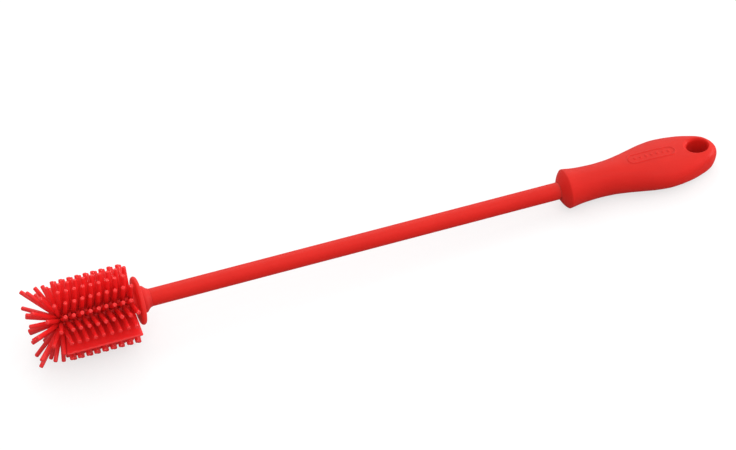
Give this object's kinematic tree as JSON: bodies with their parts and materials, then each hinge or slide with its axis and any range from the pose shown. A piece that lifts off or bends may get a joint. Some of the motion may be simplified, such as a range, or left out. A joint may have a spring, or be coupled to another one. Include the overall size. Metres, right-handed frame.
{
  "type": "bottle brush",
  "caption": "Long-handled silicone bottle brush: bristled head with a fanned nose and a wiper blade, round shaft, and a waisted handle with a hanging hole.",
  "frame": {"origin": "middle of the whole brush's box, on the axis of the shaft", "axes": "+X along the shaft from the head to the handle's end, +Z along the hanging hole's axis, +Y across the handle's width, so the wiper blade stands out towards -Y"},
  "size_m": [0.4, 0.0438, 0.0444],
  "materials": {
    "head_silicone": "soft satin, slightly see-through",
    "skin_silicone": "matte, finely moulded",
    "nylon": "as moulded, natural",
    "steel": "drawn rod"
  },
  "bodies": {
    "handle_and_shaft": {"handle_grip": "skin_silicone", "handle_core": "nylon", "core_rod": "steel", "shaft_sleeve": "skin_silicone", "head_plug": "nylon"},
    "head": {"brush_head": "head_silicone"},
    "blade": {"wiper_blade": "head_silicone"}
  },
  "joints": [
    {"name": "head_pull_off", "type": "slide", "parent": "handle_and_shaft", "child": "head", "axis": [-1, 0, 0], "range_m": [0, 0.06]},
    {"name": "wiper_blade_flex", "type": "hinge", "parent": "head", "child": "blade", "pos_m": [-0.164, -0.00611, -0.00108], "axis": [1, 0, 0], "range_deg": [-15, 15], "stiffness_Nm_per_rad": 0.006}
  ]
}
